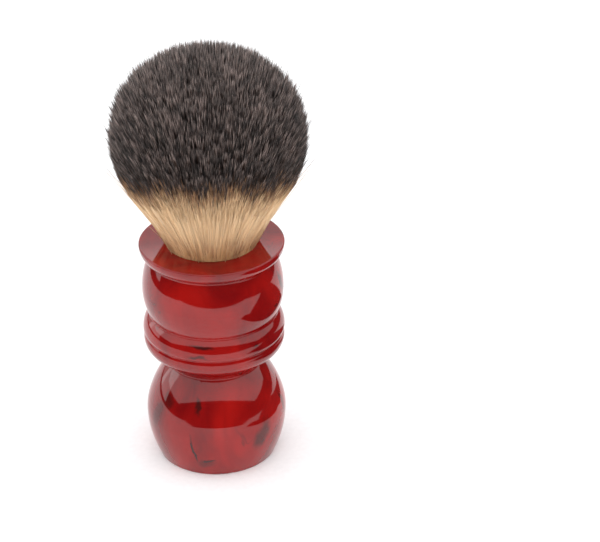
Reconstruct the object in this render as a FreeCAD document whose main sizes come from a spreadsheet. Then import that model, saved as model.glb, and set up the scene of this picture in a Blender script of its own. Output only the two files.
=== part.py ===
"""Shaving brush: a turned resin handle and a glued-in knot of soft fibre.

Frame: millimetres, +Z up along the brush, origin at the centre of the flat base.
Every piece but the wound thread is turned from one outline about the axis. The
heights up the handle are stacked, so a longer step carries everything above it,
and the socket, plug, thread, adhesive and fibres share the socket's sizes.
"""
import FreeCAD, Part
import math
import os

import Sketcher

Vector = FreeCAD.Vector

# Driving dimensions in millimetres. Radii are taken from the brush's axis, and a
# rise is the height that a step adds to the one below it. The crown's angle is in
# degrees up from the knot's crest, where its side arc passes into its top arc.
SIZES = {
    # ball, the lower grip
    "base_radius": 16.4,
    "base_edge_round": 0.4,
    "ball_radius": 19.2,
    "ball_lower_rise": 12.4,
    "ball_upper_rise": 15.2,
    "ball_upper_curve": 15.2,
    "ball_upper_turn": 14.4,
    # waist and hollow shoulder
    "waist_radius": 12.65,
    "shoulder_turn_radius": 16.1,
    "shoulder_cove_rise": 3.7,
    "shoulder_swell_rise": 4.2,
    # pair of beads
    "lower_bead_radius": 19.15,
    "lower_bead_rise": 1.35,
    "bead_groove_radius": 18.75,
    "bead_groove_round": 0.15,
    "upper_bead_radius": 19.25,
    "upper_bead_swell_rise": 1.5,
    "upper_bead_taper_rise": 4.55,
    # barrel
    "crease_radius": 17.4,
    "crease_round": 0.5,
    "barrel_radius": 19.1,
    "barrel_lower_rise": 7.4,
    "barrel_upper_rise": 9.4,
    # lip round the mouth
    "neck_radius": 17.0,
    "lip_radius": 19.5,
    "lip_rise": 3.6,
    "lip_edge_round": 0.45,
    # socket and what is glued into it
    "socket_radius": 12.3,
    "socket_depth": 17.0,
    "glue_wall": 0.4,
    "glue_floor": 0.8,
    "plug_recess": 2.2,
    "thread_radius": 0.3,
    "thread_turns": 6,
    "thread_play": 0.05,
    "thread_cover": 3.0,
    # soft knot
    "fibre_gap": 0.25,
    "knot_radius": 25.8,
    "knot_flare_rise": 31.4,
    "knot_flare_curve": 29.0,
    "knot_crown_rise": 23.5,
    "knot_crown_angle": 45.0,
}


class Length:
    """A length worked out from named sizes, as a number and as an expression."""

    def __init__(self, value=0.0, text="0"):
        self.value = value
        self.text = text

    def __add__(self, other):
        return Length(self.value + other.value, f"{self.text} + {other.text}")

    def __sub__(self, other):
        return Length(self.value - other.value, f"{self.text} - ({other.text})")

    def times(self, factor):
        """Return this length multiplied by a Length or by a plain number."""
        if isinstance(factor, Length):
            return Length(self.value * factor.value, f"({self.text}) * ({factor.text})")
        return Length(self.value * factor, f"({self.text}) * {factor}")


def size(name):
    """Return the named size as a Length."""
    return Length(SIZES[name], f"sizes.{name}")


ZERO = Length()

# Heights up the handle, each stacked on the one below it.
BALL_CREST = size("base_edge_round") + size("ball_lower_rise")
WAIST = BALL_CREST + size("ball_upper_rise")
SHOULDER_TURN = WAIST + size("shoulder_cove_rise")
LOWER_BEAD = SHOULDER_TURN + size("shoulder_swell_rise")
BEAD_GROOVE = LOWER_BEAD + size("lower_bead_rise")
UPPER_BEAD = BEAD_GROOVE + size("upper_bead_swell_rise")
CREASE = UPPER_BEAD + size("upper_bead_taper_rise")
BARREL_CREST = CREASE + size("barrel_lower_rise")
NECK = BARREL_CREST + size("barrel_upper_rise")
LIP_CREST = NECK + size("lip_rise")
MOUTH = LIP_CREST + size("lip_edge_round")

# The socket and what is glued into it.
SOCKET_FLOOR = MOUTH - size("socket_depth")
PLUG_FLOOR = SOCKET_FLOOR + size("glue_floor")
PLUG_TOP = MOUTH - size("plug_recess")
PLUG_RADIUS = size("socket_radius") - size("glue_wall")

# The thread lies flush in the plug's groove, with play all round it.
THREAD_PITCH = size("thread_radius").times(2) + size("thread_play")
THREAD_RISE = THREAD_PITCH.times(size("thread_turns"))
THREAD_MARGIN = size("thread_radius") + size("thread_play")
THREAD_CENTRE = PLUG_RADIUS - THREAD_MARGIN
GROOVE_RADIUS = THREAD_CENTRE - THREAD_MARGIN
GROOVE_TOP = PLUG_TOP - size("thread_cover")
THREAD_START = GROOVE_TOP - THREAD_MARGIN - THREAD_RISE
GROOVE_FLOOR = THREAD_START - THREAD_MARGIN

# The free fibres.
FIBRE_RADIUS = size("socket_radius") - size("fibre_gap")
KNOT_CREST = MOUTH + size("knot_flare_rise")
KNOT_TOP = KNOT_CREST + size("knot_crown_rise")


class Outline:
    """Half of a turned section, drawn on the XZ plane from vertex to vertex.

    Sketch x is the distance from the brush's axis and sketch y is the height.
    Each vertex is a pair of Lengths, or None where a tangency settles its place.
    """

    ORIGIN = -1
    START, END, CENTRE = 1, 2, 3

    def __init__(self, body, name, radius, height):
        self.sketch = body.newObject("Sketcher::SketchObject", name)
        plane = next(item for item in body.Origin.OriginFeatures if item.Role == "XZ_Plane")
        self.sketch.AttachmentSupport = [(plane, "")]
        self.sketch.MapMode = "FlatFace"
        self.vertices = [(radius, height)]
        self.edges = []

    def line_to(self, radius, height):
        """Draw a straight line to a new vertex."""
        line = Part.LineSegment(self._last_point(), Vector(radius.value, height.value))
        self._add(line, (radius, height))

    def swell_to(self, radius, height, joint="Coincident"):
        """Draw an arc that stands upright where it ends."""
        end = Vector(radius.value, height.value)
        arc = upright_arc(end, self._last_point())
        self._level_with(self._add(arc, (radius, height), joint), self.END)

    def taper_to(self, radius, height):
        """Draw an arc that stands upright where it starts."""
        end = Vector(radius.value, height.value)
        arc = upright_arc(self._last_point(), end)
        self._level_with(self._add(arc, (radius, height)), self.START)

    def ogee_to(self, turn_radius, turn_height, radius, height):
        """Draw a hollow arc to the turn, then a swell that runs on from it."""
        turn = Vector(turn_radius.value, turn_height.value)
        swell_centre = upright_centre(Vector(radius.value, height.value), turn)
        chord = turn - self._last_point()
        outward = (turn - swell_centre).normalize()
        centre = turn + outward * (chord.dot(chord) / (2 * chord.dot(outward) * -1))
        cove = arc_about(centre, turn, self._last_point())
        self._add(cove, (turn_radius, turn_height), first=self.END, last=self.START)
        self.swell_to(radius, height, "Tangent")

    def round_to(self, radius, height, curve, angle):
        """Draw an arc of a set radius that starts upright, then an arc that runs on from it.

        The two run into each other at an angle up from level.
        """
        crest = self._last_point()
        turn = math.radians(angle.value)
        outward = Vector(math.cos(turn), math.sin(turn))
        centre = Vector(crest.x - curve.value, crest.y)
        touch = centre + outward * curve.value
        end = Vector(radius.value, height.value)
        chord = end - touch
        centre_on = touch + outward * (chord.dot(chord) / (2 * chord.dot(outward)))
        arc = self._add(arc_about(centre, crest, touch), None)
        self._level_with(arc, self.START)
        self._set_radius(arc, curve)
        self._add(arc_about(centre_on, touch, end), (radius, height), "Tangent")
        self._set_turn(arc, self.END, centre, touch, angle)

    def flare_to(self, radius, height, curve):
        """Draw a line, then a tangent arc of a set radius that ends upright."""
        crest = Vector(radius.value, height.value)
        start = self._last_point()
        touch = touch_point(crest, start, curve.value)
        self._add(Part.LineSegment(start, touch), None)
        arc = self._add(upright_arc(crest, touch), (radius, height), "Tangent")
        self._level_with(arc, self.END)
        self._set_radius(arc, curve)

    def crown_to(self, height, angle):
        """Draw a side arc that starts upright and a crown arc centred on the axis.

        The two run into each other at an angle up from level.
        """
        crest = self._last_point()
        top = Vector(0, height.value)
        turn = math.radians(angle.value)
        shut = (1 - math.sin(turn)) / math.cos(turn)
        rise = top.y - crest.y
        side_radius = (rise - crest.x * shut) / (math.sin(turn) - (1 - math.cos(turn)) * shut)
        side_centre = Vector(crest.x - side_radius, crest.y)
        direction = Vector(math.cos(turn), math.sin(turn))
        touch = side_centre + direction * side_radius
        crown_centre = touch - direction * (touch.x / direction.x)
        side = self._add(arc_about(side_centre, crest, touch), None)
        self._level_with(side, self.START)
        crown = self._add(arc_about(crown_centre, touch, top), (ZERO, height), "Tangent")
        self._constrain("Vertical", crown, self.CENTRE, crown, self.END)
        self._set_turn(crown, self.START, crown_centre, touch, angle)

    def circle(self, radius):
        """Draw a full circle centred on the first vertex."""
        across, height = self.vertices[0]
        centre = Vector(across.value, height.value)
        edge = self.sketch.addGeometry(Part.Circle(centre, Vector(0, 0, 1), radius.value))
        self._place(edge, self.CENTRE, across, "DistanceX")
        self._place(edge, self.CENTRE, height, "DistanceY")
        self._set_radius(edge, radius)

    def close(self):
        """Join the last vertex to the first and bind every vertex to the sheet."""
        self.line_to(*self.vertices[0])
        first_edge, first_point, _ = self.edges[0]
        last_edge, _, last_point = self.edges[-1]
        self._constrain("Coincident", last_edge, last_point, first_edge, first_point)
        for (edge, point, _), vertex in zip(self.edges, self.vertices):
            if vertex is not None:
                self._place(edge, point, vertex[0], "DistanceX")
                self._place(edge, point, vertex[1], "DistanceY")

    def _add(self, geometry, vertex, joint="Coincident", first=START, last=END):
        """Add an edge that starts at its point first and ends at its point last."""
        index = self.sketch.addGeometry(geometry)
        if self.edges:
            edge, _, point = self.edges[-1]
            self._constrain(joint, edge, point, index, first)
        self.edges.append((index, first, last))
        self.vertices.append(vertex)
        return index

    def _last_point(self):
        radius, height = self.vertices[-1]
        return Vector(radius.value, height.value)

    def _constrain(self, kind, *points):
        return self.sketch.addConstraint(Sketcher.Constraint(kind, *points))

    def _level_with(self, arc, point):
        """Keep an arc's centre level with one of its ends, so it stands upright there."""
        self._constrain("Horizontal", arc, self.CENTRE, arc, point)

    def _set_turn(self, arc, point, centre, touch, angle):
        """Hold the spoke from an arc's centre to one of its ends at an angle up from level."""
        spoke = self.sketch.addGeometry(Part.LineSegment(centre, touch), True)
        self._constrain("Coincident", spoke, self.START, arc, self.CENTRE)
        self._constrain("Coincident", spoke, self.END, arc, point)
        index = self._constrain("Angle", spoke, math.radians(angle.value))
        self.sketch.setExpression(f"Constraints[{index}]", f"{angle.text} * 1 deg")

    def _set_radius(self, edge, radius):
        index = self._constrain("Radius", edge, radius.value)
        self.sketch.setExpression(f"Constraints[{index}]", radius.text)

    def _place(self, edge, point, length, kind):
        """Hold one coordinate of a point at a length from the origin."""
        index = self._constrain(kind, self.ORIGIN, self.START, edge, point, length.value)
        if length is not ZERO:
            self.sketch.setExpression(f"Constraints[{index}]", length.text)


def arc_about(centre, start, end):
    """Return the arc about a centre that turns anticlockwise from start to end."""
    first = start - centre
    last = end - centre
    circle = Part.Circle(centre, Vector(0, 0, 1), first.Length)
    return Part.ArcOfCircle(circle, math.atan2(first.y, first.x), math.atan2(last.y, last.x))


def upright_centre(crest, other):
    """Return the centre, level with the crest, of the arc through two points."""
    inset = crest.x - other.x
    rise = crest.y - other.y
    return Vector(crest.x - (inset ** 2 + rise ** 2) / (2 * inset), crest.y)


def upright_arc(crest, other):
    """Return the arc from a crest, where it stands upright, to another point."""
    centre = upright_centre(crest, other)
    if crest.y > other.y:
        return arc_about(centre, other, crest)
    return arc_about(centre, crest, other)


def touch_point(crest, outside, radius):
    """Return where a line from an outside point touches the arc that crests here."""
    centre = Vector(crest.x - radius, crest.y)
    away = outside - centre
    lean = math.acos(radius / away.Length)
    side = -1 if away.y > 0 else 1
    angle = math.atan2(away.y, away.x) + side * lean
    return centre + Vector(math.cos(angle), math.sin(angle)) * radius


def make_sheet(doc):
    """Write every driving dimension into a spreadsheet cell with an alias."""
    sheet = doc.addObject("Spreadsheet::Sheet", "sizes")
    for row, (name, number) in enumerate(SIZES.items(), start=1):
        sheet.set(f"A{row}", name)
        sheet.set(f"B{row}", str(number))
        sheet.setAlias(f"B{row}", name)
    doc.recompute()


def make_body(doc, label):
    """Add an empty body with its own label and placement."""
    body = doc.addObject("PartDesign::Body", label)
    body.Label = label
    body.Placement = FreeCAD.Placement()
    return body


def revolve(body, outline):
    """Close an outline and turn it once round the brush's axis."""
    outline.close()
    turned = body.newObject("PartDesign::Revolution", f"{body.Label}_turned")
    turned.Profile = outline.sketch
    turned.ReferenceAxis = (outline.sketch, ["V_Axis"])
    turned.Angle = 360
    outline.sketch.Visibility = False
    return turned


def circular_edge(shape, radius, height):
    """Return the name of the level circular edge of this radius at this height."""
    tolerance = 1e-4
    for number, edge in enumerate(shape.Edges, start=1):
        curve = edge.Curve
        if not isinstance(curve, Part.Circle):
            continue
        if abs(curve.Radius - radius) < tolerance and abs(curve.Center.z - height) < tolerance:
            return f"Edge{number}"
    raise ValueError(f"no circular edge of radius {radius} at height {height}")


def round_creases(body, base, name, creases, radius):
    """Round the hollow creases at these radii and heights of a turned solid."""
    fillet = body.newObject("PartDesign::Fillet", name)
    edges = [circular_edge(base.Shape, across.value, height.value) for across, height in creases]
    fillet.Base = (base, edges)
    fillet.setExpression("Radius", radius.text)
    return fillet


def make_handle(doc):
    """Turned resin handle with a blind socket in its lip."""
    body = make_body(doc, "handle")
    outline = Outline(body, "handle_outline", ZERO, ZERO)
    outline.line_to(size("base_radius") - size("base_edge_round"), ZERO)
    outline.swell_to(size("base_radius"), size("base_edge_round"))
    outline.swell_to(size("ball_radius"), BALL_CREST)
    outline.round_to(
        size("waist_radius"), WAIST, size("ball_upper_curve"), size("ball_upper_turn")
    )
    outline.ogee_to(size("shoulder_turn_radius"), SHOULDER_TURN, size("lower_bead_radius"), LOWER_BEAD)
    outline.taper_to(size("bead_groove_radius"), BEAD_GROOVE)
    outline.swell_to(size("upper_bead_radius"), UPPER_BEAD)
    outline.taper_to(size("crease_radius"), CREASE)
    outline.swell_to(size("barrel_radius"), BARREL_CREST)
    outline.taper_to(size("neck_radius"), NECK)
    outline.swell_to(size("lip_radius"), LIP_CREST)
    outline.taper_to(size("lip_radius") - size("lip_edge_round"), MOUTH)
    outline.line_to(size("socket_radius"), MOUTH)
    outline.line_to(size("socket_radius"), SOCKET_FLOOR)
    outline.line_to(ZERO, SOCKET_FLOOR)
    turned = revolve(body, outline)
    doc.recompute()
    creases = [
        (size("waist_radius"), WAIST),
        (size("crease_radius"), CREASE),
        (size("neck_radius"), NECK),
    ]
    eased = round_creases(body, turned, "crease_fillet", creases, size("crease_round"))
    doc.recompute()
    groove = [(size("bead_groove_radius"), BEAD_GROOVE)]
    round_creases(body, eased, "bead_groove_fillet", groove, size("bead_groove_round"))
    return body


def make_plug(doc):
    """Hard potted plug that holds the fibre roots, with a groove for its thread."""
    body = make_body(doc, "knot_plug")
    outline = Outline(body, "plug_outline", ZERO, PLUG_FLOOR)
    outline.line_to(PLUG_RADIUS, PLUG_FLOOR)
    outline.line_to(PLUG_RADIUS, GROOVE_FLOOR)
    outline.line_to(GROOVE_RADIUS, GROOVE_FLOOR)
    outline.line_to(GROOVE_RADIUS, GROOVE_TOP)
    outline.line_to(PLUG_RADIUS, GROOVE_TOP)
    outline.line_to(PLUG_RADIUS, PLUG_TOP)
    outline.line_to(ZERO, PLUG_TOP)
    revolve(body, outline)
    return body


def make_thread(doc):
    """Whipping thread wound round the fibre roots in the plug's groove."""
    body = make_body(doc, "binding_thread")
    outline = Outline(body, "thread_section", THREAD_CENTRE, THREAD_START)
    outline.circle(size("thread_radius"))
    winding = body.newObject("PartDesign::AdditiveHelix", "thread_winding")
    winding.Profile = outline.sketch
    winding.ReferenceAxis = (outline.sketch, ["V_Axis"])
    winding.Mode = "pitch-height-angle"
    winding.setExpression("Pitch", THREAD_PITCH.text)
    winding.setExpression("Height", THREAD_RISE.text)
    return body


def make_adhesive(doc):
    """Cup of adhesive that fills the gap between the plug and the socket."""
    body = make_body(doc, "adhesive_bed")
    outline = Outline(body, "adhesive_outline", ZERO, SOCKET_FLOOR)
    outline.line_to(size("socket_radius"), SOCKET_FLOOR)
    outline.line_to(size("socket_radius"), PLUG_TOP)
    outline.line_to(PLUG_RADIUS, PLUG_TOP)
    outline.line_to(PLUG_RADIUS, PLUG_FLOOR)
    outline.line_to(ZERO, PLUG_FLOOR)
    revolve(body, outline)
    return body


def make_fibres(doc):
    """Closed outer shape of the free fibres, from the plug to the crown."""
    body = make_body(doc, "knot_fibres")
    outline = Outline(body, "fibre_outline", ZERO, PLUG_TOP)
    outline.line_to(FIBRE_RADIUS, PLUG_TOP)
    outline.line_to(FIBRE_RADIUS, MOUTH)
    outline.flare_to(size("knot_radius"), KNOT_CREST, size("knot_flare_curve"))
    outline.crown_to(KNOT_TOP, size("knot_crown_angle"))
    revolve(body, outline)
    return body


def check(doc, bodies):
    """Stop if any object failed, a sketch is loose, or a piece isn't one sound solid."""
    for item in doc.Objects:
        if "Invalid" in item.State or "Error" in item.State:
            raise RuntimeError(f"{item.Name} did not build: {item.State}")
        if item.isDerivedFrom("Sketcher::SketchObject") and not item.FullyConstrained:
            raise RuntimeError(f"{item.Name} is not fully constrained")
    for body in bodies:
        shape = body.Shape
        if shape.isNull() or not shape.isValid() or len(shape.Solids) != 1:
            raise RuntimeError(f"{body.Label} is not one sound solid")


def main():
    """Build every piece, check them and write one file for each."""
    doc = FreeCAD.newDocument("shaving_brush")
    make_sheet(doc)
    makers = (make_handle, make_plug, make_thread, make_adhesive, make_fibres)
    bodies = [maker(doc) for maker in makers]
    doc.recompute()
    check(doc, bodies)
    os.makedirs("parts", exist_ok=True)
    for body in bodies:
        body.Shape.exportStep(f"parts/{body.Label}.step")
        box = body.Shape.optimalBoundingBox()
        print(f"{body.Label}: {body.Shape.Volume:.1f} mm3, {box.ZMin:.2f} to {box.ZMax:.2f} mm high")


main()
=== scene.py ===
"""Finish of a shaving brush: polished resin handle, synthetic knot and the glued joint.

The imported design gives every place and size. This file adds what the maker's hands give: the
marbling and polish of the resin, the fibres of the knot, its binding and its glue.
"""

import enum
import logging
import math
from dataclasses import dataclass, field
from typing import Any

import bmesh
import bpy
import numpy as np
from mathutils import Matrix, Vector


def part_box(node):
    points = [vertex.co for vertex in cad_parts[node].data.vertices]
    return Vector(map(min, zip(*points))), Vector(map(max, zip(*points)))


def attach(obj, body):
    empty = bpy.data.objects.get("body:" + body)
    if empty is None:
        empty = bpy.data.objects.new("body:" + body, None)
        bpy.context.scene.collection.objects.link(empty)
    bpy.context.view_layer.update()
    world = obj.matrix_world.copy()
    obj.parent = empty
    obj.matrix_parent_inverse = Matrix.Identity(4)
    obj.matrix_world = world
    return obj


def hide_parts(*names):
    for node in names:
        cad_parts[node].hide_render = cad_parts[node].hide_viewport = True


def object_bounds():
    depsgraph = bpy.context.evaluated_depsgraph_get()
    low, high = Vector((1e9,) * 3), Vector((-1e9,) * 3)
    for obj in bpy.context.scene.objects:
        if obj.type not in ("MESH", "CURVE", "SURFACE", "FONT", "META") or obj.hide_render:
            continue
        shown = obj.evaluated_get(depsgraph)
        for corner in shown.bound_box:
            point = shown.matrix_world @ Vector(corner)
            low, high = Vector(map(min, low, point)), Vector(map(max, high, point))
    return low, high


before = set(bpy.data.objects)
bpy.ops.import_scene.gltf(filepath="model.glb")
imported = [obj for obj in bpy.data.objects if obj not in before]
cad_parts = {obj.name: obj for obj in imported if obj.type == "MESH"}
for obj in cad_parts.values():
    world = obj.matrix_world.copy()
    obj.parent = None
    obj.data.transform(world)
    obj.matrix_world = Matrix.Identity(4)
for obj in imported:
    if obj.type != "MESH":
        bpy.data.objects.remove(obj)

MM = 0.001
BODY = "root"
CAD_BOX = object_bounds()
log = logging.getLogger("shaving_brush")


def linear(colour: str) -> tuple[float, float, float, float]:
    """Turns an sRGB colour into the linear numbers that a shader takes.

    Args:
        colour: the colour as six hex digits after a #.

    Returns:
        Red, green and blue in linear light, and an alpha of 1.
    """
    shares = [int(colour[i : i + 2], 16) / 255 for i in (1, 3, 5)]
    red, green, blue = (
        share / 12.92 if share <= 0.04045 else ((share + 0.055) / 1.055) ** 2.4
        for share in shares
    )
    return red, green, blue, 1.0


def per_mm(size: float) -> float:
    """Texture scale at which one feature of a pattern measures size millimetres."""
    return 1 / (size * MM)


def add_node(
    tree: bpy.types.NodeTree,
    kind: str,
    settings: dict[Any, Any] | None = None,
    links: dict[Any, bpy.types.NodeSocket] | None = None,
) -> bpy.types.Node:
    """Adds one shader node with its settings and its links.

    Args:
        tree: the material's or the world's node tree.
        kind: the node's type, without the ShaderNode that starts it.
        settings: attributes by a name in small letters, sockets by their own name or number,
            and "stops", the (place, sRGB colour) pairs of a colour ramp.
        links: the output that feeds each input socket.

    Returns:
        The new node.
    """
    node = tree.nodes.new(f"ShaderNode{kind}")
    for key, value in (settings or {}).items():
        if key == "stops":
            while len(node.color_ramp.elements) < len(value):
                node.color_ramp.elements.new(1.0)
            for element, (place, colour) in zip(node.color_ramp.elements, value):
                element.position = place
                element.color = linear(colour)
        elif isinstance(key, str) and key[0].islower():
            setattr(node, key, value)
        else:
            node.inputs[key].default_value = value
    for key, socket in (links or {}).items():
        tree.links.new(socket, node.inputs[key])
    return node


class Slot(enum.Enum):
    """Names of two material slots of the design. Nothing in this script reads them."""

    FIBRE = "knot_fibre"
    THREAD = "whipping_thread"


@dataclass(frozen=True)
class Finish:
    """A finish that becomes one procedural material."""

    name: str
    roughness: float
    ior: float

    def material(self) -> bpy.types.Material:
        """Makes the material.

        Returns:
            A material whose nodes are laid by the finish's own paint method.
        """
        material = bpy.data.materials.new(self.name)
        material.use_nodes = True
        tree = material.node_tree
        tree.nodes.clear()
        shader = add_node(
            tree, "BsdfPrincipled", {"Roughness": self.roughness, "IOR": self.ior}
        )
        add_node(tree, "OutputMaterial", links={"Surface": shader.outputs[0]})
        self.paint(tree, shader)
        return material

    def paint(self, tree: bpy.types.NodeTree, shader: bpy.types.Node) -> None:
        """Lays the pattern's nodes. Each finish has its own."""
        raise NotImplementedError


@dataclass(frozen=True)
class Wisp:
    """One wisp of black pigment, a thin veil in the resin. Sizes in mm, angles in degrees."""

    azimuth: float
    height: float
    radius: float
    length: float
    width: float
    lean: float
    strength: float


@dataclass(frozen=True)
class MarbledResin(Finish):
    """Polyester casting resin, poured with a swirl of black pigment, turned and buffed.

    The pour leaves soft clouds of deep and bright red with smoky wisps under a wet, mirror-like
    gloss. Buffing doesn't reach the foot, whose flat face stays sanded and dull.
    """

    deep: str = "#640306"
    bright: str = "#940E0A"
    smoke: str = "#1E0C0B"
    cloud_size: float = 14.0
    vein_size: float = 16.0
    vein_patch: float = 24.0
    wisp_depth: float = 3.0
    fray_size: float = 4.0
    fray: float = 3.4
    bubble_spacing: float = 5.0
    foot_roughness: float = 0.42
    wisps: tuple[Wisp, ...] = (
        Wisp(-108, 22.5, 17.2, 4.2, 0.9, 8, 0.8),
        Wisp(-110, 8.6, 19.0, 6.5, 0.6, 10, 0.9),
        Wisp(-98, 5.4, 18.4, 0.8, 2.4, 10, 0.85),
        Wisp(-101, 4.4, 18.2, 1.8, 3.4, 0, 0.5),
        Wisp(-150, 17.0, 18.6, 7.5, 2.6, -12, 0.6),
        Wisp(-140, 21.5, 17.2, 3.0, 2.6, 10, 0.6),
        Wisp(-50, 11.5, 19.0, 5.8, 3.0, -30, 0.75),
        Wisp(-16, 16.0, 18.8, 6.0, 1.2, 10, 0.65),
        Wisp(-64, 30.5, 13.0, 3.0, 1.0, 40, 0.8),
        Wisp(-46, 33.0, 15.0, 1.4, 3.0, 25, 0.6),
        Wisp(-102, 41.6, 18.2, 0.9, 4.2, 0, 0.85),
        Wisp(-104, 38.8, 19.3, 0.7, 3.6, 0, 0.75),
        Wisp(-54, 40.2, 19.2, 0.5, 0.7, -20, 0.8),
        Wisp(-16, 54.0, 18.6, 5.0, 1.6, 26, 0.8),
        Wisp(-28, 49.0, 19.2, 0.7, 1.0, 0, 0.8),
        Wisp(-36, 60.5, 17.8, 0.7, 4.5, 8, 0.7),
        Wisp(70, 14.0, 19.2, 6.0, 1.5, -25, 0.7),
        Wisp(110, 52.0, 19.0, 5.0, 1.4, 30, 0.6),
        Wisp(150, 10.0, 19.0, 4.5, 1.1, 15, 0.7),
        Wisp(95, 34.0, 16.5, 3.0, 1.2, -20, 0.6),
    )

    def paint(self, tree: bpy.types.NodeTree, shader: bpy.types.Node) -> None:
        """Lays clouds, veins and wisps in the colour, bubbles in the bump, and the dull foot."""
        place = add_node(tree, "TexCoord").outputs["Object"]
        stretched = add_node(
            tree, "Mapping", {"Scale": (1.0, 1.0, 0.55)}, {"Vector": place}
        ).outputs[0]
        clouds = add_node(
            tree,
            "TexNoise",
            {"Scale": per_mm(self.cloud_size), "Detail": 4.0, "Distortion": 0.9},
            {"Vector": stretched},
        )
        reds = add_node(
            tree,
            "ValToRGB",
            {"stops": ((0.32, self.deep), (0.68, self.bright))},
            {"Fac": clouds.outputs[0]},
        )
        smoke = self.smoke_amount(tree, place, stretched)
        colour = add_node(
            tree,
            "Mix",
            {"data_type": "RGBA", 7: linear(self.smoke)},
            {0: smoke, 6: reds.outputs[0]},
        )
        tree.links.new(colour.outputs[2], shader.inputs["Base Color"])
        tree.links.new(self.polish(tree, place), shader.inputs["Roughness"])
        tree.links.new(self.bubbles(tree, place), shader.inputs["Normal"])

    def smoke_amount(
        self,
        tree: bpy.types.NodeTree,
        place: bpy.types.NodeSocket,
        stretched: bpy.types.NodeSocket,
    ) -> bpy.types.NodeSocket:
        """Works out how much black pigment is seen at each point.

        Args:
            tree: the material's nodes.
            place: object coordinates.
            stretched: the same, drawn out along the pour.

        Returns:
            A value from 0, clear red, to 1, black.
        """
        lines = add_node(
            tree,
            "TexNoise",
            {"Scale": per_mm(self.vein_size), "Detail": 3.0, "Distortion": 1.6},
            {"Vector": stretched},
        )
        off_line = add_node(
            tree, "Math", {"operation": "SUBTRACT", 1: 0.5}, {0: lines.outputs[0]}
        )
        apart = add_node(tree, "Math", {"operation": "ABSOLUTE"}, {0: off_line.outputs[0]})
        veins = add_node(
            tree,
            "MapRange",
            {"From Min": 0.0, "From Max": 0.012, "To Min": 1.0, "To Max": 0.0},
            {"Value": apart.outputs[0]},
        )
        patches = add_node(
            tree,
            "TexNoise",
            {"Scale": per_mm(self.vein_patch), "Detail": 1.0},
            {"Vector": place},
        )
        where = add_node(
            tree,
            "MapRange",
            {"From Min": 0.52, "From Max": 0.7, "To Min": 0.0, "To Max": 0.55},
            {"Value": patches.outputs[0]},
        )
        amount = add_node(
            tree,
            "Math",
            {"operation": "MULTIPLY"},
            {0: veins.outputs[0], 1: where.outputs[0]},
        ).outputs[0]
        ragged = self.ragged_place(tree, place)
        for wisp in self.wisps:
            turn = math.radians(wisp.azimuth)
            veil = add_node(
                tree,
                "Mapping",
                {
                    "vector_type": "TEXTURE",
                    "Location": Vector(
                        (
                            wisp.radius * MM * math.cos(turn),
                            wisp.radius * MM * math.sin(turn),
                            wisp.height * MM,
                        )
                    ),
                    "Rotation": (math.radians(wisp.lean), 0.0, turn),
                    "Scale": Vector((self.wisp_depth, wisp.width, wisp.length)) * MM,
                },
                {"Vector": ragged},
            )
            reach = add_node(
                tree, "VectorMath", {"operation": "LENGTH"}, {0: veil.outputs[0]}
            )
            shade = add_node(
                tree,
                "MapRange",
                {
                    "interpolation_type": "SMOOTHSTEP",
                    "From Min": 0.35,
                    "From Max": 1.05,
                    "To Min": wisp.strength,
                    "To Max": 0.0,
                },
                {"Value": reach.outputs["Value"]},
            )
            amount = add_node(
                tree, "Math", {"operation": "MAXIMUM"}, {0: amount, 1: shade.outputs[0]}
            ).outputs[0]
        return amount

    def ragged_place(
        self, tree: bpy.types.NodeTree, place: bpy.types.NodeSocket
    ) -> bpy.types.NodeSocket:
        """Returns object coordinates shaken by a millimetre or two, which frays the wisps."""
        shake = add_node(
            tree, "TexNoise", {"Scale": per_mm(self.fray_size), "Detail": 4.0}, {"Vector": place}
        )
        centred = add_node(
            tree,
            "VectorMath",
            {"operation": "SUBTRACT", 1: (0.5, 0.5, 0.5)},
            {0: shake.outputs["Color"]},
        )
        return add_node(
            tree,
            "VectorMath",
            {"operation": "MULTIPLY_ADD", 1: (self.fray * MM,) * 3},
            {0: centred.outputs[0], 2: place},
        ).outputs[0]

    def polish(
        self, tree: bpy.types.NodeTree, place: bpy.types.NodeSocket
    ) -> bpy.types.NodeSocket:
        """Returns the roughness: buffed all over, with the foot's face left sanded."""
        height = add_node(tree, "SeparateXYZ", links={0: place}).outputs["Z"]
        return add_node(
            tree,
            "MapRange",
            {
                "From Min": 0.05 * MM,
                "From Max": 0.4 * MM,
                "To Min": self.foot_roughness,
                "To Max": self.roughness,
            },
            {"Value": height},
        ).outputs[0]

    def bubbles(
        self, tree: bpy.types.NodeTree, place: bpy.types.NodeSocket
    ) -> bpy.types.NodeSocket:
        """Returns a normal with the few pin-prick bubbles that a pour leaves at the surface."""
        pits = add_node(
            tree,
            "TexVoronoi",
            {"Scale": per_mm(self.bubble_spacing)},
            {"Vector": place},
        )
        depth = add_node(
            tree,
            "MapRange",
            {"From Min": 0.0, "From Max": 0.035, "To Min": 0.0, "To Max": 1.0},
            {"Value": pits.outputs["Distance"]},
        )
        return add_node(
            tree,
            "Bump",
            {"Strength": 0.35, "Distance": 0.05 * MM},
            {"Height": depth.outputs[0]},
        ).outputs[0]


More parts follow.
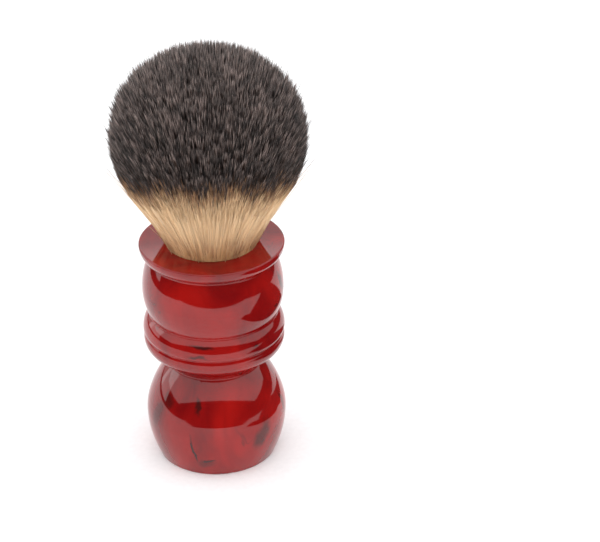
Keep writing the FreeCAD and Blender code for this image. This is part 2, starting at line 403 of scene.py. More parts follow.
@dataclass(frozen=True)
class DyedFibre(Finish):
    """Drawn polyester filament with ends dipped in dye, in a knot.

    The filament is smooth, so each one shows a thin line of light. It is cream from the root to
    the dye line, then brown-black, and greyer at the tapered tip. The darker root is painted
    shade at the socket's mouth, and the darker band a few mm below the tip is painted shade
    between the fibres. Neighbours differ at random, dyed locks widely, which also paints
    light streaks and shade between the locks.
    """

    shades: int = 64
    map_name: str = "OFBake"
    dye_place: float = 0.5
    map_length: float = 80.0
    # Painted shade: the root stop is darker where the fibres crowd into the socket's mouth.
    root: str = "#ECBD88"
    body: str = "#FFDAAC"
    rust: str = "#B98C66"
    umber: str = "#5E4230"
    dyed: str = "#38271F"
    # Partly painted shade: this stop, a few mm below the tips, is darker than the dye itself, for
    # the shade between fibres.
    smoky_dye_and_shade: str = "#2A1F1A"
    tip: str = "#665A56"
    cream_range: tuple[float, float] = (0.8, 1.0)
    # Partly painted light and shade: dyed locks are scaled this widely at random, so bright ones
    # stand in for sheen streaks and dark ones for shade in the gaps.
    dyed_range: tuple[float, float] = (0.12, 4.2)

    def paint(self, tree: bpy.types.NodeTree, shader: bpy.types.Node) -> None:
        """Lays the dye along the fibre, then lightens or darkens each lock as a whole."""
        uv = add_node(tree, "UVMap", {"uv_map": self.map_name}).outputs[0]
        parts = add_node(tree, "SeparateXYZ", links={0: uv})
        mm = 1 / self.map_length
        # Painted shade: the first stop darkens the roots at the socket's mouth, and the stop 4.5 mm
        # before the tip darkens the shafts under the tips.
        stops = (
            (self.dye_place - 24 * mm, self.root),
            (self.dye_place - 15 * mm, self.body),
            (self.dye_place - 3.2 * mm, self.body),
            (self.dye_place - 0.4 * mm, self.rust),
            (self.dye_place + 2.0 * mm, self.umber),
            (self.dye_place + 5 * mm, self.dyed),
            (self.dye_place + 15.5 * mm, self.smoky_dye_and_shade),
            (self.dye_place + 20 * mm, self.tip),
        )
        dye = add_node(tree, "ValToRGB", {"stops": stops}, {"Fac": parts.outputs["Y"]})
        number = add_node(
            tree,
            "Math",
            {"operation": "MULTIPLY", 1: float(self.shades)},
            {0: parts.outputs["X"]},
        )
        whole = add_node(tree, "Math", {"operation": "FLOOR"}, {0: number.outputs[0]})
        chance = add_node(
            tree, "TexWhiteNoise", {"noise_dimensions": "1D"}, {"W": whole.outputs[0]}
        )
        dyed = add_node(
            tree,
            "MapRange",
            {"From Min": self.dye_place, "From Max": self.dye_place + 2 * mm},
            {"Value": parts.outputs["Y"]},
        )
        rare = add_node(
            tree, "Math", {"operation": "POWER", 1: 2.0}, {0: chance.outputs["Value"]}
        )
        # Painted light and shade: the dyed level's wide random spread paints streaks of sheen and
        # shade between locks.
        cream_level, dyed_level = (
            add_node(
                tree, "MapRange", {"To Min": low, "To Max": high}, {"Value": value}
            )
            for (low, high), value in (
                (self.cream_range, chance.outputs["Value"]),
                (self.dyed_range, rare.outputs[0]),
            )
        )
        level = add_node(
            tree,
            "Mix",
            links={0: dyed.outputs[0], 2: cream_level.outputs[0], 3: dyed_level.outputs[0]},
        )
        colour = add_node(
            tree,
            "VectorMath",
            {"operation": "SCALE"},
            {0: dye.outputs[0], "Scale": level.outputs[0]},
        )
        tree.links.new(colour.outputs[0], shader.inputs["Base Color"])


@dataclass(frozen=True)
class PottingEpoxy(Finish):
    """Clear amber epoxy, cast round the fibre roots and cut flat.

    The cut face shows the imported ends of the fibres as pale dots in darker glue.
    """

    glue: str = "#7A5A35"
    fibre_end: str = "#C9AA7C"
    fibre_spacing: float = 0.25

    def paint(self, tree: bpy.types.NodeTree, shader: bpy.types.Node) -> None:
        """Lays one pale dot for each fibre end, drawn coarser than the real 0.1 mm."""
        place = add_node(tree, "TexCoord").outputs["Object"]
        upright = add_node(
            tree, "Mapping", {"Scale": (1.0, 1.0, 0.05)}, {"Vector": place}
        )
        ends = add_node(
            tree,
            "TexVoronoi",
            {"Scale": per_mm(self.fibre_spacing)},
            {"Vector": upright.outputs[0]},
        )
        colour = add_node(
            tree,
            "ValToRGB",
            {"stops": ((0.25, self.fibre_end), (0.6, self.glue))},
            {"Fac": ends.outputs["Distance"]},
        )
        bump = add_node(
            tree,
            "Bump",
            {"Strength": 0.3, "Distance": 0.05 * MM, "invert": True},
            {"Height": ends.outputs["Distance"]},
        )
        tree.links.new(colour.outputs[0], shader.inputs["Base Color"])
        tree.links.new(bump.outputs[0], shader.inputs["Normal"])


@dataclass(frozen=True)
class WaxedThread(Finish):
    """Waxed polyester whipping thread, two plies laid together.

    The plies show as slanting bands, and the wax gives a soft, uneven shine.
    """

    light: str = "#CFC3A8"
    dark: str = "#8F8268"
    ply_width: float = 0.3

    def paint(self, tree: bpy.types.NodeTree, shader: bpy.types.Node) -> None:
        """Lays slanting bands for the plies, a little wavy."""
        place = add_node(tree, "TexCoord").outputs["Object"]
        plies = add_node(
            tree,
            "TexWave",
            {
                "bands_direction": "DIAGONAL",
                "Scale": per_mm(self.ply_width * 20),
                "Distortion": 1.2,
            },
            {"Vector": place},
        )
        colour = add_node(
            tree,
            "ValToRGB",
            {"stops": ((0.2, self.dark), (0.8, self.light))},
            {"Fac": plies.outputs[0]},
        )
        bump = add_node(
            tree,
            "Bump",
            {"Strength": 0.5, "Distance": 0.05 * MM},
            {"Height": plies.outputs[0]},
        )
        tree.links.new(colour.outputs[0], shader.inputs["Base Color"])
        tree.links.new(bump.outputs[0], shader.inputs["Normal"])


@dataclass(frozen=True)
class FilledAdhesive(Finish):
    """Two-part epoxy adhesive with a mineral filler, mixed by hand.

    It sets cloudy grey-white, with small bubbles that mixing leaves.
    """

    pale: str = "#C9C4B6"
    cloudy: str = "#A39C8B"
    cloud_size: float = 2.0
    bubble_size: float = 0.6

    def paint(self, tree: bpy.types.NodeTree, shader: bpy.types.Node) -> None:
        """Lays the cloudy mix and its bubbles."""
        place = add_node(tree, "TexCoord").outputs["Object"]
        clouds = add_node(
            tree,
            "TexNoise",
            {"Scale": per_mm(self.cloud_size), "Detail": 5.0},
            {"Vector": place},
        )
        colour = add_node(
            tree,
            "ValToRGB",
            {"stops": ((0.35, self.cloudy), (0.65, self.pale))},
            {"Fac": clouds.outputs[0]},
        )
        bubbles = add_node(
            tree,
            "TexVoronoi",
            {"Scale": per_mm(self.bubble_size)},
            {"Vector": place},
        )
        bump = add_node(
            tree,
            "Bump",
            {"Strength": 0.3, "Distance": 0.05 * MM},
            {"Height": bubbles.outputs["Distance"]},
        )
        tree.links.new(colour.outputs[0], shader.inputs["Base Color"])
        tree.links.new(bump.outputs[0], shader.inputs["Normal"])


@dataclass(frozen=True)
class HeartShade(Finish):
    """Packed filament in its own shade, seen only through gaps: brown below, black above."""

    dye_height: float
    below: str = "#EBC795"
    above: str = "#171110"
    lock_size: float = 0.5

    def paint(self, tree: bpy.types.NodeTree, shader: bpy.types.Node) -> None:
        """Lays upright streaks over a change from brown to black at the dye line."""
        place = add_node(tree, "TexCoord").outputs["Object"]
        height = add_node(tree, "SeparateXYZ", links={0: place}).outputs["Z"]
        dyed = add_node(
            tree,
            "MapRange",
            {
                "From Min": (self.dye_height - 4) * MM,
                "From Max": self.dye_height * MM,
            },
            {"Value": height},
        )
        locks = add_node(
            tree, "Mapping", {"Scale": (1.0, 1.0, 0.05)}, {"Vector": place}
        )
        streaks = add_node(
            tree,
            "TexNoise",
            {"Scale": per_mm(self.lock_size)},
            {"Vector": locks.outputs[0]},
        )
        shade = add_node(
            tree,
            "Mix",
            {"data_type": "RGBA", 6: linear(self.below), 7: linear(self.above)},
            {0: dyed.outputs[0]},
        )
        level = add_node(
            tree,
            "MapRange",
            {"To Min": 0.6, "To Max": 1.3},
            {"Value": streaks.outputs[0]},
        )
        colour = add_node(
            tree,
            "VectorMath",
            {"operation": "SCALE"},
            {0: shade.outputs[2], "Scale": level.outputs[0]},
        )
        tree.links.new(colour.outputs[0], shader.inputs["Base Color"])


@dataclass(frozen=True)
class StudioPaper(Finish):
    """Matte white paper from a roll. Its tooth is too fine to catch light."""

    light: str = "#FAFAFB"
    shade: str = "#F5F5F6"
    tooth: float = 1.5

    def paint(self, tree: bpy.types.NodeTree, shader: bpy.types.Node) -> None:
        """Lays the paper's faint, even grain."""
        place = add_node(tree, "TexCoord").outputs["Object"]
        grain = add_node(
            tree,
            "TexNoise",
            {"Scale": per_mm(self.tooth), "Detail": 2.0},
            {"Vector": place},
        )
        colour = add_node(
            tree,
            "ValToRGB",
            {"stops": ((0.3, self.shade), (0.7, self.light))},
            {"Fac": grain.outputs[0]},
        )
        tree.links.new(colour.outputs[0], shader.inputs["Base Color"])


@dataclass(frozen=True)
class BlackCard(Finish):
    """Matte black card, dyed through, which gives back almost no light."""

    dye: str = "#151516"

    def paint(self, tree: bpy.types.NodeTree, shader: bpy.types.Node) -> None:
        """Sets the one even colour."""
        shader.inputs["Base Color"].default_value = linear(self.dye)


def dress(piece: bpy.types.Object, finish: Finish) -> None:
    """Gives a piece one finish in every material slot it has."""
    material = finish.material()
    if not piece.material_slots:
        piece.data.materials.append(material)
    for slot in piece.material_slots:
        slot.material = material


def new_piece(name: str, bm: bmesh.types.BMesh, smooth: bool = True) -> bpy.types.Object:
    """Turns a bmesh into a linked object at the origin.

    Args:
        name: the piece's name.
        bm: its mesh, which is freed.
        smooth: whether its faces are shaded smooth.

    Returns:
        The new object.
    """
    mesh = bpy.data.meshes.new(name)
    bm.to_mesh(mesh)
    bm.free()
    mesh.polygons.foreach_set("use_smooth", [smooth] * len(mesh.polygons))
    piece = bpy.data.objects.new(name, mesh)
    bpy.context.scene.collection.objects.link(piece)
    return piece


@dataclass
class Handle:
    """The turned handle. Its shape is the design's own."""

    node: str = "handle"
    finish: MarbledResin = MarbledResin("cast_polyester_resin_buffed", 0.06, 1.55)

    def build(self) -> None:
        """Dresses the handle in resin."""
        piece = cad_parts[self.node]
        dress(piece, self.finish)
        log.info("%s: buffed marbled resin", self.node)


@dataclass
class Joint:
    """What holds the knot: the potted roots, their binding and the glue. Sizes in mm."""

    turns: int = 6
    steps_per_turn: int = 40
    thread_sides: int = 8
    thread_diameter: float = 0.6
    epoxy: PottingEpoxy = PottingEpoxy("epoxy_potting_cast", 0.25, 1.55)
    glue: FilledAdhesive = FilledAdhesive("epoxy_adhesive_mixed", 0.45, 1.5)
    thread: WaxedThread = WaxedThread("polyester_thread_waxed", 0.55, 1.5)

    def build(self) -> None:
        """Dresses the plug and the glue, and winds the thread."""
        dress(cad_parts["knot_plug"], self.epoxy)
        dress(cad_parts["adhesive_bed"], self.glue)
        piece = new_piece("whipping", self.winding())
        dress(piece, self.thread)
        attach(piece, BODY)
        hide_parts("binding_thread")
        log.info("joint: plug, glue and %d turns of thread", self.turns)

    def winding(self) -> bmesh.types.BMesh:
        """Winds the thread: one round section, spun up the plug and closed at both ends.

        Returns:
            The thread's mesh.
        """
        low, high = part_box("binding_thread")
        half = self.thread_diameter / 2 * MM
        climb = high.z - low.z - 2 * half
        steps = self.turns * self.steps_per_turn
        bm = bmesh.new()
        start = Matrix.Translation((high.x - half, 0, low.z + half))
        upright = Matrix.Rotation(math.pi / 2, 4, "X")
        bmesh.ops.create_circle(
            bm, segments=self.thread_sides, radius=half, matrix=start @ upright
        )
        bmesh.ops.spin(
            bm,
            geom=bm.verts[:] + bm.edges[:],
            cent=(0, 0, 0),
            axis=(0, 0, 1),
            dvec=(0, 0, climb / steps),
            angle=2 * math.pi * self.turns,
            steps=steps,
        )
        bmesh.ops.holes_fill(bm, edges=bm.edges[:], sides=self.thread_sides)
        bmesh.ops.recalc_face_normals(bm, faces=bm.faces[:])
        return bm


@dataclass
class Fan:
    """The way the fibres spread from the socket, and the rounded surface where they end.

    Sizes in mm. A fibre that starts at a share of the socket's radius keeps that share of the
    fan's radius all the way up.
    """

    mouth_radius: float = 12.0
    spread: float = 0.62
    ease: float = 2.2
    lead_in: float = 1.2
    crest_rise: float = 31.4
    belly_curve: float = 29.0
    lowest_tip_rise: float = 12.0
    halvings: int = 24
    mouth: float = field(init=False)
    crest: float = field(init=False)
    crest_radius: float = field(init=False)
    root: float = field(init=False)
    top: float = field(init=False)

    def __post_init__(self) -> None:
        """Reads the knot's place from the design."""
        low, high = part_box("knot_fibres")
        self.root = low.z / MM
        self.top = high.z / MM
        self.crest_radius = high.x / MM
        self.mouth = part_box("handle")[1].z / MM
        self.crest = self.mouth + self.crest_rise

    def radius(self, height: np.ndarray) -> np.ndarray:
        """Radius of the outermost fibre at each height. It leaves the socket nearly upright."""
        rise = np.maximum(height, self.root) - self.mouth
        bend = np.exp(-(rise + self.lead_in) / self.ease) - math.exp(-self.lead_in / self.ease)
        return self.mouth_radius + self.spread * (rise + self.ease * bend)

    def surface(self, height: np.ndarray) -> np.ndarray:
        """Radius of the surface of tips at each height: an arc below the crest, a dome above."""
        below = np.clip(self.crest - height, 0, self.belly_curve)
        belly = self.crest_radius - self.belly_curve + np.sqrt(self.belly_curve**2 - below**2)
        share = np.clip((height - self.crest) / (self.top - self.crest), 0, 1)
        dome = self.crest_radius * np.sqrt(1 - share**2.05)
        return np.where(height < self.crest, belly, dome)

    def tip_height(self, share: np.ndarray) -> np.ndarray:
        """Height at which each fibre meets the surface of tips, found by halving the range.

        Args:
            share: each fibre's share of the fan's radius, 0 to 1.

        Returns:
            The heights, in mm.
        """
        low = np.full_like(share, self.mouth + self.lowest_tip_rise)
        high = np.full_like(share, self.top)
        for _ in range(self.halvings):
            middle = (low + high) / 2
            inside = share * self.radius(middle) < self.surface(middle)
            low = np.where(inside, middle, low)
            high = np.where(inside, high, middle)
        return low


@dataclass
class FibreBundle:
    """Fibres made by doubling one tapered, three-sided fibre, then bent one by one. Sizes in mm."""

    name: str
    doublings: int
    cuts: tuple[float, ...]
    thickness: float
    taper_from: float
    finish: DyedFibre

    def one_fibre(self) -> bmesh.types.BMesh:
        """Makes the fibre that is repeated: a closed cone cut into rings, with a map along it.

        Returns:
            A mesh 1 unit long, on the Z axis, copied once so that its vertices lie in one run.
        """
        bm = bmesh.new()
        bmesh.ops.create_cone(
            bm,
            cap_ends=True,
            segments=3,
            radius1=1,
            radius2=0,
            depth=1,
            matrix=Matrix.Translation((0, 0, 0.5)),
        )
        for cut in self.cuts[1:-1]:
            bmesh.ops.bisect_plane(
                bm,
                geom=bm.verts[:] + bm.edges[:] + bm.faces[:],
                plane_co=(0, 0, cut),
                plane_no=(0, 0, 1),
            )
        layer = bm.loops.layers.uv.new(self.finish.map_name)
        for face in bm.faces:
            middle = face.calc_center_median()
            facing = math.atan2(middle.y, middle.x)
            for loop in face.loops:
                x, y, z = loop.vert.co
                side = math.remainder(math.atan2(y, x) - facing, 2 * math.pi)
                across = 0.5 if z > 0.999 else 0.5 + 0.4 * math.copysign(1, side)
                loop[layer].uv = (across, z)
        fibre = bm.copy()
        bm.free()
        return fibre

    def grow(
        self,
        centres: np.ndarray,
        dye: np.ndarray,
        shades: np.ndarray,
        rng: np.random.Generator,
    ) -> bpy.types.Object:
        """Doubles the fibre and bends each copy along its own line.

        Args:
            centres: the points of each fibre's line at the cuts, in mm, as an array of fibres
                by cuts by three.
            dye: each fibre's place on the finish's map at its root and its tip.
            shades: the number of each fibre's shade.
            rng: the source of each fibre's turn and thickness.

        Returns:
            The finished piece, riding on the brush.
        """
        bm = self.one_fibre()
        pattern = np.array([vert.co for vert in bm.verts])
        for _ in range(self.doublings):
            bmesh.ops.duplicate(bm, geom=bm.verts[:] + bm.edges[:] + bm.faces[:])
        piece = new_piece(self.name, bm)
        count = 2**self.doublings
        ring = np.abs(pattern[:, 2, None] - np.array(self.cuts)).argmin(1)
        turn = np.arctan2(pattern[:, 1], pattern[:, 0]) + rng.uniform(0, 2, (count, 1)) * np.pi
        along = np.array(self.cuts)[ring]
        half = self.thickness / 2 * np.clip((1 - along) / (1 - self.taper_from), 0, 1)
        half = half * rng.uniform(0.8, 1.2, (count, 1))
        places = centres[:, ring]
        places[..., 0] += half * np.cos(turn)
        places[..., 1] += half * np.sin(turn)
        piece.data.vertices.foreach_set("co", (places * MM).astype(np.float32).ravel())
        self.shade(piece, dye, shades)
        piece.data.update()
        dress(piece, self.finish)
        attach(piece, BODY)
        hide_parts("knot_fibres")
        log.info("%s: %d fibres, %d faces", self.name, count, len(piece.data.polygons))
        return piece

    def shade(self, piece: bpy.types.Object, dye: np.ndarray, shades: np.ndarray) -> None:
        """Moves each fibre's map to its own shade, and along it to its own dye line.

        Args:
            piece: the bundle.
            dye: each fibre's place on the map at its root and its tip.
            shades: the number of each fibre's shade.
        """
        layer = piece.data.uv_layers[self.finish.map_name].uv
        spots = np.empty(len(layer) * 2, np.float32)
        layer.foreach_get("vector", spots)
        spots = spots.reshape(len(dye), -1, 2)
        root, tip = dye[:, :1], dye[:, 1:]
        spots[..., 0] = (shades[:, None] + spots[..., 0]) / self.finish.shades
        spots[..., 1] = root + (tip - root) * spots[..., 1]
        layer.foreach_set("vector", spots.ravel())


@dataclass(frozen=True)
class Stray:
    """One loose fibre that lies over the sheath. Azimuths in degrees, heights and lifts in mm."""

    azimuths: tuple[float, float]
    heights: tuple[float, float]
    lifts: tuple[float, float]


@dataclass
class Knot:
    """The bulb of fibres: a sheath of long ones, a crown of tips, a heart of painted shade and
    strays.

    Sizes in mm. Real filament is about 0.1 thick. It is drawn thicker, so that each fibre or
    small lock of them still shows as one streak.
    """

    fan: Fan
    fibre: DyedFibre = DyedFibre("polyester_filament_dyed", 0.36, 1.57)
    seed: int = 1871
    crown_pieces: int = 4
    crown_doublings: int = 14
    crown_depth: float = 14.0
    crown_thickness: float = 0.19
    crown_dyed: float = 20.0
    dye_whole: float = 3.0
    lock_size: int = 4
    lock_spread: float = 0.07
    sheath_pieces: int = 2
    sheath_doublings: int = 13
    sheath_inner: float = 0.83
    sheath_thickness: float = 0.14
    dye_height: float = 86.2
    dye_sway: float = 3.2
    dye_scatter: float = 1.7
    dye_waves: tuple[tuple[float, int, float], ...] = ((0.8, 9, 1.0), (0.7, 23, 0.0))
    root_reach: float = 20.0
    lean_scatter: float = 0.35
    lean_reach: float = 30.0
    splayed_share: float = 0.015
    splayed_lean: float = 2.6
    tip_scatter: float = 2.0
    tip_fall: float = 8.0
    tip_spread: float = 0.4
    tip_proud: float = 0.8
    heart_floor: float = 0.2
    heart_inset: float = 7.0
    heart_cover: float = 4.2
    heart_share: float = 0.84
    heart_gap: float = 0.5
    heart_rings: int = 18
    heart_steps: int = 64
    stray_thickness: float = 0.16
    strays: tuple[Stray, ...] = (
        Stray((-105, -61), (64.3, 76.5), (0.1, 0.1)),
        Stray((-172, -171), (64.0, 70.5), (0.2, 1.7)),
        Stray((-168, -176), (70.0, 87.0), (0.2, 1.3)),
        Stray((-176, -172), (74.0, 90.0), (0.1, 1.0)),
        Stray((-164, -169), (76.0, 91.0), (0.1, 1.5)),
        Stray((-178, -180), (68.0, 84.0), (0.1, 2.0)),
        Stray((-20, -12), (72.0, 89.0), (0.1, 1.2)),
        Stray((-4, -7), (75.0, 91.0), (0.1, 1.4)),
    )

    def build(self) -> None:
        """Makes every piece of the knot."""
        rng = np.random.default_rng(self.seed)
        for number in range(1, self.sheath_pieces + 1):
            self.sheath(rng, number)
        for number in range(1, self.crown_pieces + 1):
            self.crown(rng, number)
        self.loose_fibres(rng)
        self.heart()

    def line(
        self,
        share: np.ndarray,
        azimuth: np.ndarray,
        start: np.ndarray,
        end: np.ndarray,
        cuts: tuple[float, ...],
        rng: np.random.Generator,
    ) -> np.ndarray:
        """Works out each fibre's line up the fan, with a little lean of its own.

        Args:
            share: each fibre's share of the fan's radius.
            azimuth: its direction round the axis, in radians.
            start: the height of its lower end.
            end: the height of its tip.
            cuts: the shares of its length at which points are wanted.
            rng: the source of the lean.

        Returns:
            Points as an array of fibres by cuts by three.
        """
        height = start[:, None] + (end - start)[:, None] * np.array(cuts)
        radius = share[:, None] * self.fan.radius(height)
        grown = np.clip((height - self.fan.mouth) / self.lean_reach, 0, None)
        splayed = rng.uniform(size=(len(share), 1)) < self.splayed_share
        splay = np.where(splayed, self.splayed_lean, 1.0)
        lean = rng.normal(0, self.lean_scatter, (2, len(share), 1)) * splay * grown**1.5
        direction = azimuth[:, None]
        x = radius * np.cos(direction) + lean[0]
        y = radius * np.sin(direction) + lean[1]
        return np.stack([x, y, height], -1)

    def dye_line(self, azimuth: np.ndarray, rng: np.random.Generator) -> np.ndarray:
        """Height at which each fibre turns dark: it sways round the knot and is ragged."""
        sway = -self.dye_sway * np.cos(2 * azimuth)
        ragged = sum(size * np.sin(count * azimuth + at) for size, count, at in self.dye_waves)
        return self.dye_height + sway + ragged + rng.normal(0, self.dye_scatter, len(azimuth))

    def sheath(self, rng: np.random.Generator, number: int) -> None:
        """Grows the long outer fibres that show from the socket to the dyed band.

        Args:
            rng: the source of all scatter.
            number: which share of them it is, for its name.
        """
        cuts = (0.0, 0.16, 0.4, 0.7, 1.0)
        bundle = FibreBundle(
            f"knot_sheath_{number}",
            self.sheath_doublings,
            cuts,
            self.sheath_thickness,
            0.8,
            self.fibre,
        )
        count = 2**self.sheath_doublings
        share = np.sqrt(rng.uniform(self.sheath_inner**2, 1, count))
        azimuth = rng.uniform(-np.pi, np.pi, count)
        start = np.full(count, self.fan.root)
        short = np.minimum(rng.exponential(self.tip_scatter, count), self.tip_fall)
        end = self.fan.tip_height(share) - short + self.tip_proud
        ends = np.stack([start, end], 1) - self.dye_line(azimuth, rng)[:, None]
        dye = self.fibre.dye_place + ends / self.fibre.map_length
        shades = rng.integers(0, self.fibre.shades, count)
        bundle.grow(self.line(share, azimuth, start, end, cuts, rng), dye, shades, rng)

    def crown(self, rng: np.random.Generator, number: int) -> None:
        """Grows one share of the fibres whose dyed tips make the rounded top, lock by lock.

        Args:
            rng: the source of all scatter.
            number: which share it is, for its name.
        """
        cuts = (0.0, 0.85, 1.0)
        bundle = FibreBundle(
            f"knot_crown_{number}",
            self.crown_doublings,
            cuts,
            self.crown_thickness,
            cuts[1],
            self.fibre,
        )
        count = 2**self.crown_doublings
        locks = count // self.lock_size
        lock_share = np.sqrt(rng.uniform(0, 1, locks))
        lock_azimuth = rng.uniform(-np.pi, np.pi, locks)
        apart = rng.normal(0, self.lock_spread / self.fan.crest_radius, (2, count))
        x = np.repeat(lock_share * np.cos(lock_azimuth), self.lock_size) + apart[0]
        y = np.repeat(lock_share * np.sin(lock_azimuth), self.lock_size) + apart[1]
        share = np.clip(np.hypot(x, y), 0, 1)
        azimuth = np.arctan2(y, x)
        fall = np.minimum(rng.exponential(self.tip_scatter, locks), self.tip_fall)
        short = np.repeat(fall, self.lock_size)
        short += rng.exponential(self.tip_spread, count)
        end = self.fan.tip_height(share) - short + self.tip_proud
        start = np.maximum(end - self.crown_depth, self.fan.root)
        from_tip = np.stack([end - self.crown_dyed] * 2, 1)
        from_line = self.dye_line(azimuth, rng)[:, None]
        ends = np.stack([start, end], 1)
        beyond = np.minimum(ends - from_tip, np.maximum(ends - from_line, -self.root_reach))
        beyond[:, 1] = np.where(beyond[:, 1] > self.dye_whole, self.crown_dyed, beyond[:, 1])
        dye = self.fibre.dye_place + beyond / self.fibre.map_length
        shades = np.repeat(rng.integers(0, self.fibre.shades, locks), self.lock_size)
        bundle.grow(self.line(share, azimuth, start, end, cuts, rng), dye, shades, rng)

    def loose_fibres(self, rng: np.random.Generator) -> None:
        """Lays the few fibres that have slipped out and lie over the others."""
        cuts = tuple(np.linspace(0, 1, 9).tolist())
        doublings = int(math.log2(len(self.strays)))
        bundle = FibreBundle(
            "knot_strays", doublings, cuts, self.stray_thickness, 0.8, self.fibre
        )
        ends = [(stray.azimuths, stray.heights, stray.lifts) for stray in self.strays]
        low, high = np.moveaxis(np.array(ends), 2, 0)[..., None]
        azimuth, height, lift = np.moveaxis(low + (high - low) * np.array(cuts), 1, 0)
        radius = self.fan.radius(height) + lift
        turn = np.radians(azimuth)
        centres = np.stack([radius * np.cos(turn), radius * np.sin(turn), height], -1)
        dye = self.fibre.dye_place + (height[:, [0, -1]] - self.dye_height) / self.fibre.map_length
        shades = rng.integers(0, self.fibre.shades, len(self.strays))
        bundle.grow(centres, dye, shades, rng)

    def heart(self) -> None:
        """Spins the mass of fibres that fills the knot, out of sight below the tips, in painted
        shade.
        """
        fan = self.fan
        lowest = fan.root + self.heart_floor
        heights = np.linspace(lowest, fan.top - self.heart_inset, self.heart_rings)
        outer = np.minimum(fan.radius(heights), fan.surface(heights + self.heart_cover))
        radii = np.maximum(outer * self.heart_share - self.heart_gap, self.heart_gap)
        bm = bmesh.new()
        rim = [bm.verts.new((r * MM, 0, z * MM)) for r, z in zip(radii, heights)]
        for lower, upper in zip(rim, rim[1:]):
            bm.edges.new((lower, upper))
        bmesh.ops.spin(
            bm,
            geom=bm.verts[:] + bm.edges[:],
            cent=(0, 0, 0),
            axis=(0, 0, 1),
            dvec=(0, 0, 0),
            angle=2 * math.pi,
            steps=self.heart_steps,
            use_merge=True,
        )
        bmesh.ops.remove_doubles(bm, verts=bm.verts[:], dist=0.001 * MM)
        bmesh.ops.holes_fill(bm, edges=bm.edges[:], sides=self.heart_steps)
        bmesh.ops.recalc_face_normals(bm, faces=bm.faces[:])
        piece = new_piece("knot_heart", bm)
        dress(piece, HeartShade("fibre_mass_shaded", 0.8, 1.5, self.dye_height))
        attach(piece, BODY)
        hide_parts("knot_fibres")
        log.info("knot_heart: %d faces", len(piece.data.polygons))


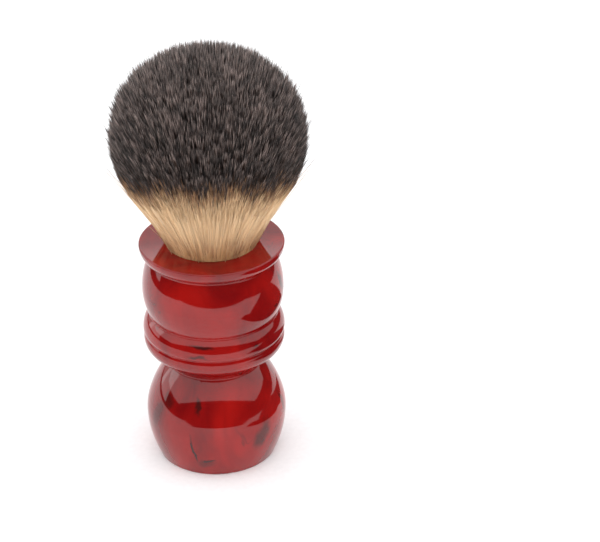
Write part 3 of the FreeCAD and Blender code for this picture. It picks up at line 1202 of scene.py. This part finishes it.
@dataclass
class Studio:
    """A sheet of white paper under a broad ceiling light, open and dark on the camera's side.

    Two soft fills light the brush without being mirrored in its polish. Sizes in m, angles in
    degrees. A light's strength is the brightness of its face, with white paper at about 1.
    """

    floor_front: float = -0.245
    floor_back: float = 0.9
    floor_half_width: float = 0.3
    ceiling_height: float = 0.6
    ceiling_front: float = -1.1
    ceiling_back: float = 1.0
    ceiling_half_width: float = 3.0
    ceiling_light: float = 1.25
    ceiling_fill: float = 1.1
    backdrop_left: float = -1.6
    backdrop_right: float = 0.7
    backdrop_light: float = 0.8
    side_place: float = -1.2
    side_front: float = 0.12
    side_light: float = 1.5
    fill_place: float = -0.8
    fill_size: tuple[float, float] = (1.2, 0.5)
    fill_light: float = 2.1
    flag_place: float = 0.055
    flag_size: tuple[float, float] = (0.24, 0.13)
    room_light: float = 0.06
    lens: float = 126.0
    camera_place: tuple[float, float, float] = (0.0, -0.4949, 0.3257)
    camera_pitch: float = 28.75
    camera_turn: float = 2.72
    camera_roll: float = -0.5

    def build(self) -> None:
        """Lays the floor, hangs the lights and sets the camera."""
        self.floor()
        middle = (self.ceiling_front + self.ceiling_back) / 2
        depth = self.ceiling_back - self.ceiling_front
        hung = Matrix.Translation((0, middle, self.ceiling_height))
        spread = (2 * self.ceiling_half_width, depth)
        self.panel("ceiling_light", hung, spread, self.ceiling_light)
        self.panel("ceiling_fill", hung, spread, self.ceiling_fill, mirrored=False)
        upright = Matrix.Rotation(-math.pi / 2, 4, "X")
        across = (self.backdrop_left + self.backdrop_right) / 2
        self.panel(
            "backdrop_light",
            Matrix.Translation((across, self.floor_back, self.ceiling_height / 2)) @ upright,
            (self.backdrop_right - self.backdrop_left, self.ceiling_height),
            self.backdrop_light,
        )
        along = (self.side_front + self.floor_back) / 2
        self.panel(
            "side_light",
            Matrix.Translation((self.side_place, along, self.ceiling_height / 2))
            @ Matrix.Rotation(math.pi / 2, 4, "Z")
            @ upright,
            (self.floor_back - self.side_front, self.ceiling_height),
            self.side_light,
        )
        self.panel(
            "front_fill",
            Matrix.Translation((0, self.fill_place, self.fill_size[1] / 2)) @ upright.inverted(),
            self.fill_size,
            self.fill_light,
            mirrored=False,
        )
        self.flag()
        self.room()
        self.camera()
        log.info("studio: floor, five lights, flag and camera")

    def floor(self) -> None:
        """Lays the paper, centred on the brush from side to side."""
        bm = bmesh.new()
        bmesh.ops.create_grid(bm, x_segments=2, y_segments=2, size=1)
        half_depth = (self.floor_back - self.floor_front) / 2
        bmesh.ops.scale(bm, vec=(self.floor_half_width, half_depth, 1), verts=bm.verts[:])
        bmesh.ops.translate(
            bm, vec=(0, self.floor_front + half_depth, CAD_BOX[0][2]), verts=bm.verts[:]
        )
        paper = new_piece("floor", bm)
        dress(paper, StudioPaper("studio_paper_matte", 0.9, 1.45))

    def panel(
        self,
        name: str,
        place: Matrix,
        size: tuple[float, float],
        strength: float,
        mirrored: bool = True,
    ) -> None:
        """Hangs one soft light that lights along its own -Z and stays out of view.

        Args:
            name: the light's name.
            place: where it hangs and how it is turned.
            size: its width and depth.
            strength: how bright its face is.
            mirrored: whether the polish reflects it.
        """
        light = bpy.data.lights.new(name, "AREA")
        light.shape = "RECTANGLE"
        light.size, light.size_y = size
        light.energy = strength * math.pi * size[0] * size[1]
        lamp = bpy.data.objects.new(name, light)
        lamp.matrix_world = place
        lamp.visible_camera = False
        lamp.visible_glossy = mirrored
        bpy.context.scene.collection.objects.link(lamp)

    def flag(self) -> None:
        """Lays a black card to the right, seen only in the polish, where it darkens one side."""
        bm = bmesh.new()
        bmesh.ops.create_grid(bm, x_segments=1, y_segments=1, size=0.5)
        bmesh.ops.scale(bm, vec=(*self.flag_size, 1), verts=bm.verts[:])
        lift = CAD_BOX[0][2] + MM
        shift = (self.flag_place + self.flag_size[0] / 2, 0, lift)
        bmesh.ops.translate(bm, vec=shift, verts=bm.verts[:])
        card = new_piece("black_flag", bm)
        dress(card, BlackCard("studio_card_black", 0.9, 1.45))
        for kind in ("camera", "diffuse", "shadow", "transmission", "volume_scatter"):
            setattr(card, f"visible_{kind}", False)

    def room(self) -> None:
        """Makes the room: dark in reflections, and white where the camera sees past the paper."""
        world = bpy.data.worlds.new("studio_room")
        world.use_nodes = True
        tree = world.node_tree
        tree.nodes.clear()
        seen = add_node(tree, "LightPath").outputs["Is Camera Ray"]
        shade = add_node(
            tree,
            "Mix",
            {
                "data_type": "RGBA",
                6: (self.room_light,) * 3 + (1.0,),
                7: (1.0, 1.0, 1.0, 1.0),
            },
            {0: seen},
        )
        air = add_node(tree, "Background", links={"Color": shade.outputs[2]})
        add_node(tree, "OutputWorld", links={"Surface": air.outputs[0]})
        bpy.context.scene.world = world

    def camera(self) -> None:
        """Stands the camera before the brush, looking down at it."""
        scene = bpy.context.scene
        lens = bpy.data.cameras.new("camera")
        lens.sensor_width = 36.0
        lens.lens = self.lens
        camera = bpy.data.objects.new("camera", lens)
        camera.matrix_world = (
            Matrix.Translation(self.camera_place)
            @ Matrix.Rotation(math.radians(-self.camera_turn), 4, "Z")
            @ Matrix.Rotation(math.radians(90 - self.camera_pitch), 4, "X")
            @ Matrix.Rotation(math.radians(self.camera_roll), 4, "Z")
        )
        scene.collection.objects.link(camera)
        scene.camera = camera
        scene.view_settings.view_transform = "Standard"


def main() -> None:
    """Builds the brush piece by piece, then the studio."""
    logging.basicConfig(level=logging.INFO, format="%(name)s: %(message)s")
    for part in (Handle(), Joint(), Knot(Fan()), Studio()):
        part.build()


if __name__ == "__main__":
    main()
